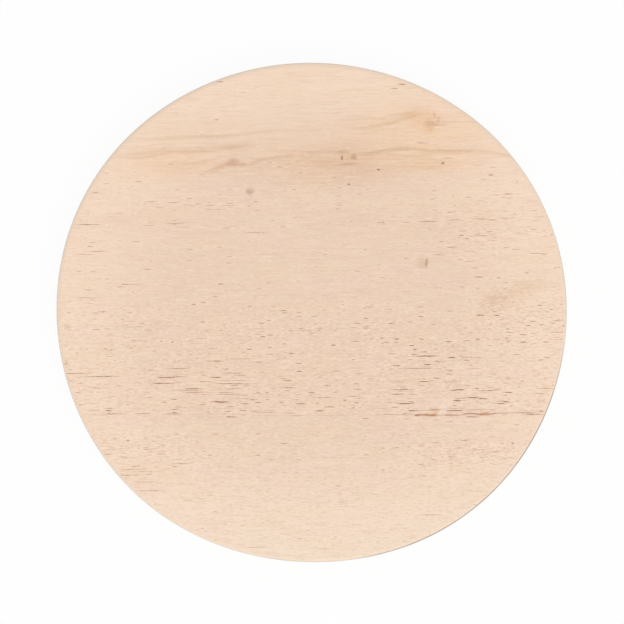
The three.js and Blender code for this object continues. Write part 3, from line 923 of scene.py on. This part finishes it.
def pilot(low, high):
    # from below the board up to the screw's point
    gap = plankShape["boreGap"]
    radius = screwShape["shankRadius"] + gap
    foot = boardUnder - plankShape["borePast"]
    shoulder = high.z - screwShape["pointLength"]
    return [(0, high.z + gap), (gap, high.z + gap), (radius, shoulder), (radius, foot), (0, foot)]


def buildPlanks():
    right, left = seamAngles()
    finish = plankWood()
    arcs = {"wide_plank": (right, left), "narrow_plank": (left, right + 2 * np.pi)}
    for name, (start, end) in arcs.items():
        shape = plankGrid(start, end, plankShape["rimSteps"][name])
        dress(name, shape, dowelBores() + screwBores(screwNames, pilot), finish)


buildPlanks()


# Battens: the same kind of wood in a plainer, yellower cut, with its grain from front to back

battenShape = {
    "easedRadius": 1.5 * mm,
    "cornerSteps": 6,
    "endFace": 8 * mm,
    "endRun": 10 * mm,
    "bend": 1.2 * mm,  # how round the foot's bend into the end slope is
    "bendReach": (5 * mm, 6 * mm),  # to the last row near the bend, and to the first row away from it
    "rows": (12, 16, 4),  # along the flat foot, over the bend, and up the slope
    "tones": {"ground": seen(233, 204, 168), "band": seen(216, 180, 138), "pore": seen(168, 126, 90),
              "endGrain": seen(204, 166, 122), "fibre": seen(240, 216, 184)},
    "pores": {"cell": (16, 1.9, 1.5), "half": (6, 0.32, 0.6), "least": 0.35, "faintest": 0.35,
              "shift": (2, 5, 1)},
    "poreCloud": ((50, 9, 9), (7, 7, 1)),
    "fibre": ((22, 0.8, 0.9), (3, 1, 4)),
    "bands": ((60, 2.6, 3.4), (1, 2, 5)),
}


def battenWood():
    shape = battenShape
    tones = shape["tones"]
    finish, shader, place = newFinish("battenWood")
    grain = turnedToY(place)
    bandPlace = stretched(grain, *shape["bands"])
    bands = bandPlace.node("TexWave", {"bands_direction": "DIAGONAL", "wave_profile": "SAW"}, {
        "Vector": bandPlace, "Scale": 0.06, "Distortion": 2.6, "Detail": 2.0, "Detail Scale": 0.7})
    colour = (bands * 0.55).between(tones["ground"], tones["band"])
    fibre = blotches(grain, *shape["fibre"])
    colour = (fibre.fade(0.45, 0.8) * 0.5).between(colour, tones["band"])
    colour = (fibre.fade(0.5, 0.2) * 0.6).between(colour, tones["fibre"])
    density = blotches(grain, *shape["poreCloud"]).fade(0.3, 0.7, 0.1, 0.6)
    pore = poreCore(*poreField(grain, density, shape["pores"]))
    colour = (pore * 0.8).between(colour, tones["pore"])
    endwise = abs(place.node("NewGeometry", {}, {}, "Normal").axes()[1])
    colour = (endwise.fade(0.45, 0.9) * 0.6).between(colour, tones["endGrain"])
    feed(shader, "Base Color", colour)
    feed(shader, "Roughness", fibre.fade(0.3, 0.7, 0.64, 0.78))
    shader.inputs["Specular IOR Level"].default_value = woodSpecular
    emboss(shader, fibre * 0.6 - pore, 0.7, 0.15 * mm)
    return finish


def battenGrid(low, high):
    # one section carried from the back end to the front: a square top, rounded edges along the foot, and a
    # foot that is flat and then climbs a slope, both joined by a smooth larger-of-two; the ends are eased
    shape = battenShape
    half = (high.y - low.y) / 2
    width = (high.x - low.x) / 2
    ease = shape["easedRadius"]
    corner = np.linspace(0, np.pi / 2, shape["cornerSteps"])
    bendAt = half - shape["endRun"]
    near, far = shape["bendReach"]
    flatRows, bendRows, slopeRows = shape["rows"]
    toEnd = np.concatenate([
        np.linspace(0, bendAt - far, flatRows), np.linspace(bendAt - near, bendAt + near, bendRows),
        np.linspace(bendAt + far, half - 1.2 * ease, slopeRows)])
    inset = np.append(np.zeros_like(toEnd), ease * (1 - np.cos(corner)))
    toEnd = np.append(toEnd, half - ease + ease * np.sin(corner))
    y = np.concatenate([toEnd[::-1], -toEnd[1:]])[:, None]
    inset = np.concatenate([inset[::-1], inset[1:]])[:, None]
    climb = (np.abs(y) - bendAt) * (high.z - shape["endFace"]) / shape["endRun"]
    foot = (climb + np.hypot(climb, shape["bend"])) / 2 + inset

    right = width - inset - ease * (1 - np.cos(corner))
    lower = foot + ease * (1 - np.sin(corner))
    top = np.full_like(y, high.z)
    x = np.concatenate([width - inset, right, -right[:, ::-1], inset - width], axis=1)
    z = np.concatenate([top, lower, lower[:, ::-1], top], axis=1)
    grid = np.stack([x, np.broadcast_to(y, x.shape), z], axis=-1)
    endMiddle = (foot[0, 0] + high.z) / 2
    points = withPoles([0, half, endMiddle], grid, [0, -half, endMiddle]) + boxMiddle(low, high)
    return points, poleGridFaces(*x.shape, True)


def buildBattens():
    finish = battenWood()
    for side in ("left", "right"):
        name = side + "_batten"
        own = [screw for screw in screwNames if screw.startswith(side)]
        dress(name, battenGrid(*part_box(name)), screwBores(own, countersunk), finish)


buildBattens()


# Screws: countersunk, head down, with a crossed recess, a plain neck and a cut thread

def recess(x, y):
    # two crossed slots, deepest in the middle, with steep walls
    shape = screwShape
    depth = np.zeros_like(x)
    for far, near in ((x, y), (y, x)):
        within = np.clip((shape["slotWidth"] / 2 - np.abs(near)) / shape["slotWall"] + 0.5, 0, 1)
        floor = np.clip(1 - (np.abs(far) / (shape["slotSpan"] / 2)) ** 3, 0, 1)
        depth = np.maximum(depth, within * floor)
    return shape["slotDepth"] * depth


def screwGrid(low, high):
    # rows from the point down to the head's middle: the thread is a ridge that climbs one pitch each turn,
    # cut into a core that narrows to the point; then the neck, the cone, the rim and the head's face
    shape = screwShape
    core = shape["coreRadius"]
    shank = shape["shankRadius"]
    edge = shape["headEdge"]
    angle = np.linspace(0, 2 * np.pi, shape["steps"], endpoint=False)[None, :]
    head = (high.x - low.x) / 2
    coneFoot = low.z + shape["headRim"]
    coneTop = coneFoot + head - shank
    threadFoot = coneTop + shape["neckLength"]
    rise = np.arange(high.z - shape["tipGap"], threadFoot, -shape["pitch"] / shape["rowsPerTurn"])[:, None]
    narrowing = np.sqrt(np.clip((high.z - rise) / shape["pointLength"], shape["tipShare"], 1))
    turns = rise / shape["pitch"] - angle / (2 * np.pi)
    fadeIn = np.clip((rise - threadFoot) / shape["pitch"], 0, 1)
    ridge = (0.5 + 0.5 * np.cos(2 * np.pi * turns)) ** 3 * fadeIn
    thread = (core + (shank - core) * ridge) * narrowing

    plain = np.array([
        (core + 0.15 * mm, threadFoot - 0.3 * mm), (shank - 0.2 * mm, coneTop), (head - 0.1 * mm, coneFoot),
        (head, coneFoot - 0.1 * mm), (head, low.z + edge), (head - edge, low.z)])
    rings = np.linspace(head - 2 * edge, 0.2 * mm, shape["faceRings"])[:, None]
    around = np.ones_like(angle)
    radius = np.concatenate([thread, plain[:, :1] * around, rings * around])
    x = radius * np.cos(angle)
    y = radius * np.sin(angle)
    face = low.z + recess(x[-len(rings):], y[-len(rings):])
    z = np.concatenate([rise * around, plain[:, 1:] * around, face])
    grid = np.stack([x, y, z], axis=-1)
    points = withPoles([0, 0, high.z], grid, [0, 0, low.z + shape["slotDepth"]]) + boxMiddle(low, high)
    return points, poleGridFaces(*x.shape, True)


def screwSteel():
    finish, shader, place = newFinish("screwSteel")
    dull = blotches(place, *screwShape["blotch"])
    feed(shader, "Base Color", dull.fade(0.3, 0.7).between(screwShape["bright"], screwShape["dull"]))
    feed(shader, "Roughness", dull.fade(0.25, 0.75, 0.28, 0.5))
    shader.inputs["Metallic"].default_value = 1.0
    emboss(shader, dull, 0.3, 0.05 * mm)
    return finish


def buildScrews():
    finish = screwSteel()
    for name in screwNames:
        dress(name, screwGrid(*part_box(name)), [], finish)


buildScrews()


# Dowels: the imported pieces, in beech

dowelLook = {
    "tones": {"ground": seen(217, 180, 135), "band": seen(200, 158, 112), "fleck": seen(170, 122, 82)},
    "fibre": ((18, 0.9, 0.9), (4, 4, 4)),
    "flecks": {"cell": (5, 1.2, 1.2), "half": (1.3, 0.25, 0.25), "least": 0.5, "faintest": 0.3,
               "shift": (1, 3, 2)},
}


def finishDowels():
    tones = dowelLook["tones"]
    finish, shader, place = newFinish("dowelWood")
    grain = turnedToY(place)
    fibre = blotches(grain, *dowelLook["fibre"])
    colour = fibre.fade(0.3, 0.7).between(tones["ground"], tones["band"])
    fleck = poreCore(*poreField(grain, fibre * 0.9, dowelLook["flecks"]))
    colour = (fleck * 0.7).between(colour, tones["fleck"])
    feed(shader, "Base Color", colour)
    feed(shader, "Roughness", fibre.fade(0.3, 0.7, 0.55, 0.7))
    for name in dowelNames:
        mesh = frame["nodes"][name].data
        mesh.materials.clear()
        mesh.materials.append(finish)
    print(len(dowelNames), "dowels")


finishDowels()


# Camera, straight above, so that the rim fills the same part of the picture

view = {
    "lens": 100.0,
    "sensor": 36.0,
    "pictureWidth": 365.8 * mm,  # what the picture's width spans at the rim
    "middle": (0.06 * mm, 0.35 * mm),
}


def buildCamera():
    camera = bpy.data.objects.new("camera", bpy.data.cameras.new("camera"))
    bpy.context.scene.collection.objects.link(camera)
    camera.data.lens = view["lens"]
    camera.data.sensor_width = view["sensor"]
    rise = view["pictureWidth"] * view["lens"] / view["sensor"]
    camera.location = (*view["middle"], boardTop - plankShape["easedRadius"] + rise)
    bpy.context.scene.camera = camera


# Light: a soft sky and a wide, high lamp a little to the front and right, which show colours as written

light = {
    "sky": 0.5,
    "lamp": 0.5,  # share of the light on the rolling face
    "tilt": (15, 8),  # degrees from straight down, towards the front and the right
    "spread": 45,
}


def seenDirectly(tree):
    # 1 for what the camera sees, straight or through a shiny or clear surface, and 0 for light on its way
    shown = Wire(tree, tree.nodes.new("ShaderNodeLightPath").outputs["Is Camera Ray"])
    return shown.over(shown.sibling("Is Glossy Ray")).over(shown.sibling("Is Transmission Ray"))


def buildLight():
    world = bpy.data.worlds.new("softSky")
    bpy.context.scene.world = world
    world.use_nodes = True
    sky = world.node_tree.nodes["Background"]
    sky.inputs["Color"].default_value = (1, 1, 1, 1)
    feed(sky, "Strength", seenDirectly(world.node_tree) * (1 - light["sky"]) + light["sky"])

    lamp = bpy.data.objects.new("lamp", bpy.data.lights.new("lamp", "SUN"))
    bpy.context.scene.collection.objects.link(lamp)
    front, right = (math.radians(angle) for angle in light["tilt"])
    lamp.rotation_euler = (front, right, 0)
    lamp.data.angle = math.radians(light["spread"])
    lamp.data.energy = light["lamp"] * math.pi / (math.cos(front) * math.cos(right))


# Floor: white to the camera, with a share of the shadow that falls on it

floorShape = {"half": 3.0, "colour": (0.9, 0.9, 0.9, 1), "roughness": 0.9, "shadowShare": 0.07}


def buildFloor():
    half = floorShape["half"]
    points = np.array([[-half, -half, 0], [half, -half, 0], [half, half, 0], [-half, half, 0]])
    floor = newMesh("floor", (points, [[0, 1, 2, 3]]))
    finish = bpy.data.materials.new("paleFloor")
    finish.use_nodes = True
    tree = finish.node_tree
    shader = tree.nodes["Principled BSDF"]
    shader.inputs["Base Color"].default_value = floorShape["colour"]
    shader.inputs["Roughness"].default_value = floorShape["roughness"]
    shader.inputs["Specular IOR Level"].default_value = 0.0
    shown = seenDirectly(tree)
    white = shown.node("Emission", {}, {"Color": (1, 1, 1, 1), "Strength": 1.0})
    surface = shown.node("MixShader", {}, {
        0: shown * (1 - floorShape["shadowShare"]), 1: Wire(tree, shader.outputs["BSDF"]), 2: white})
    feed(tree.nodes["Material Output"], "Surface", surface)
    floor.data.materials.append(finish)


buildCamera()
buildLight()
buildFloor()
bpy.context.scene.view_settings.view_transform = "Standard"
print("camera, light and floor are set")
